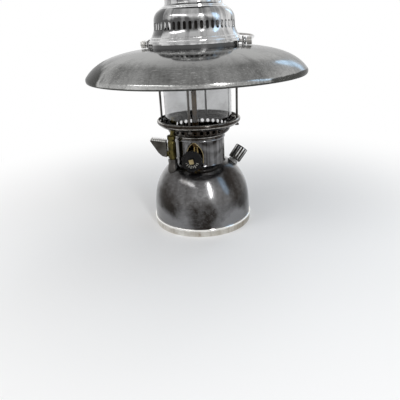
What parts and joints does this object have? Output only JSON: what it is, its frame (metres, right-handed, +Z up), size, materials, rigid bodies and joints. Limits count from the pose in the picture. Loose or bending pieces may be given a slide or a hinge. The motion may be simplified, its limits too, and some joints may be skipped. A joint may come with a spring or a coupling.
{
  "type": "kerosene pressure lantern",
  "caption": "Kerosene pressure lantern: domed tank with hand pump and preheater, glass globe in a rod cage, wide reflector shade, slotted ventilated hood and folding wire bail.",
  "frame": {"origin": "on the lantern's axis, in the plane of the foot ring's lower edge", "axes": "+Z up along the axis; -Y towards the hand wheel; the bail and its thumb screws on the X axis"},
  "size_m": [0.3454, 0.3454, 0.4],
  "materials": {
    "nickel_tank": "polished nickel or chrome plate over brass",
    "bottom_plate": "dull plate",
    "nickel_collar": "polished plate",
    "nickel_gallery": "polished plate, darkened by heat",
    "steel_rods": "plain steel",
    "steel_ring": "plain steel",
    "clear_glass": "clear",
    "nickel_shade": "polished plate with dull water marks",
    "brass_parts": "turned brass",
    "brass_nut": "dull brass",
    "brass_vaporizer": "heat-browned brass",
    "tarnished_brass": "olive tarnish",
    "steel_inner": "heat-greyed steel",
    "white_clay": "fired clay",
    "mantle_weave": "ash-white weave",
    "black_moulding": "black moulding",
    "nickel_fittings": "plated",
    "leather_cup": "oiled leather",
    "rubber_gasket": "rubber",
    "dial_face": "white enamel",
    "needle_black": "black",
    "steel_lever": "darkened steel",
    "nickel_hood": "polished plate",
    "steel_wire": "plain wire"
  },
  "bodies": {
    "frame": {"foot_ring": "nickel_tank", "tank_bottom": "bottom_plate", "tank_shell": "nickel_tank", "tank_boss": "brass_parts", "collar": "nickel_collar", "gallery_bowl": "nickel_gallery", "gallery_flange": "nickel_gallery", "frame_rods": "steel_rods", "rod_ferrules": "steel_rods", "top_ring": "steel_ring", "globe_glass": "clear_glass", "reflector_shade": "nickel_shade", "valve_body": "brass_parts", "pickup_tube": "brass_parts", "pickup_strainer": "brass_parts", "vaporizer_tube": "brass_vaporizer", "vaporizer_loop": "brass_vaporizer", "jet_nozzle": "brass_parts", "mixing_tube": "steel_inner", "mixing_chamber": "steel_inner", "burner_nozzle": "white_clay", "mantle": "mantle_weave", "chimney_foot": "steel_inner", "inner_chimney": "steel_inner", "burner_bracket": "steel_inner", "pump_barrel": "brass_parts", "pump_flange": "nickel_fittings", "pump_cap": "nickel_fittings", "check_valve": "brass_parts", "filler_neck": "brass_parts", "filler_gasket": "rubber_gasket", "preheater_base": "nickel_fittings", "preheater_body": "tarnished_brass", "preheater_torch": "tarnished_brass", "lever_bracket": "tarnished_brass", "lever_pin": "steel_rods"},
    "hood": {"hood_drum": "nickel_hood", "hood_crown": "nickel_hood", "hood_cap": "nickel_hood", "hood_bolt": "steel_inner", "hood_nut": "nickel_fittings"},
    "bail": {"bail_handle": "steel_wire"},
    "screw_right": {"thumb_screw_right": "nickel_fittings"},
    "screw_left": {"thumb_screw_left": "nickel_fittings"},
    "wheel": {"wheel_spindle": "brass_parts", "hand_wheel": "black_moulding", "wheel_nut": "brass_nut"},
    "pricker": {"needle_rod": "steel_inner"},
    "pump": {"pump_rod": "steel_rods", "pump_knob": "nickel_fittings", "pump_piston": "leather_cup"},
    "filler": {"filler_cap": "nickel_fittings", "gauge_case": "nickel_fittings", "gauge_dial": "dial_face", "gauge_glass": "clear_glass"},
    "gauge_hand": {"gauge_needle": "needle_black"},
    "bleed": {"bleed_screw": "nickel_fittings"},
    "lever": {"preheater_lever": "steel_lever"},
    "stem": {"preheater_stem": "steel_inner"}
  },
  "joints": [
    {"name": "bail_swing", "type": "hinge", "parent": "frame", "child": "bail", "pos_m": [0, 0, 0.296], "axis": [1, 0, 0], "range_deg": [-9.5, 181]},
    {"name": "hood_lift", "type": "slide", "parent": "frame", "child": "hood", "axis": [0, 0, 1], "range_m": [0, 0.06]},
    {"name": "screw_right_turn", "type": "hinge", "parent": "frame", "child": "screw_right", "pos_m": [0.08, 0, 0.296], "axis": [1, 0, 0], "range_deg": [0, 360]},
    {"name": "screw_left_turn", "type": "hinge", "parent": "frame", "child": "screw_left", "pos_m": [-0.08, 0, 0.296], "axis": [-1, 0, 0], "range_deg": [0, 360]},
    {"name": "wheel_turn", "type": "hinge", "parent": "frame", "child": "wheel", "pos_m": [0, -0.057, 0.1226], "axis": [0, -1, 0], "range_deg": [0, 180]},
    {"name": "pricker_lift", "type": "slide", "parent": "frame", "child": "pricker", "axis": [0, 0, 1], "range_m": [0, 0.0026]},
    {"name": "pump_stroke", "type": "slide", "parent": "frame", "child": "pump", "axis": [0.5344, 0.3524, 0.7683], "range_m": [0, 0.06]},
    {"name": "filler_cap_turn", "type": "hinge", "parent": "frame", "child": "filler", "pos_m": [-0.01068, 0.06058, 0.10326], "axis": [-0.1162, 0.659, 0.7431], "range_deg": [0, 360]},
    {"name": "gauge_hand_swing", "type": "hinge", "parent": "filler", "child": "gauge_hand", "pos_m": [-0.0115, 0.06519, 0.10846], "axis": [-0.1162, 0.659, 0.7431], "range_deg": [-250, 0], "stiffness_Nm_per_rad": 0.0001},
    {"name": "bleed_turn", "type": "hinge", "parent": "filler", "child": "bleed", "pos_m": [0.00614, 0.06159, 0.10553], "axis": [0.9923, 0.0439, 0.1162], "range_deg": [0, 360]},
    {"name": "lever_press", "type": "hinge", "parent": "frame", "child": "lever", "pos_m": [-0.04936, -0.03695, 0.1275], "axis": [0.1736, -0.9848, 0], "range_deg": [0, 35]},
    {"name": "stem_lift", "type": "slide", "parent": "frame", "child": "stem", "axis": [0, 0, 1], "range_m": [0, 0.002]}
  ],
  "couplings": [
    {"joint": "wheel_turn", "follows": "pricker_lift", "rad_per_m": 1208.3},
    {"joint": "lever_press", "follows": "stem_lift", "rad_per_m": 305.4}
  ]
}
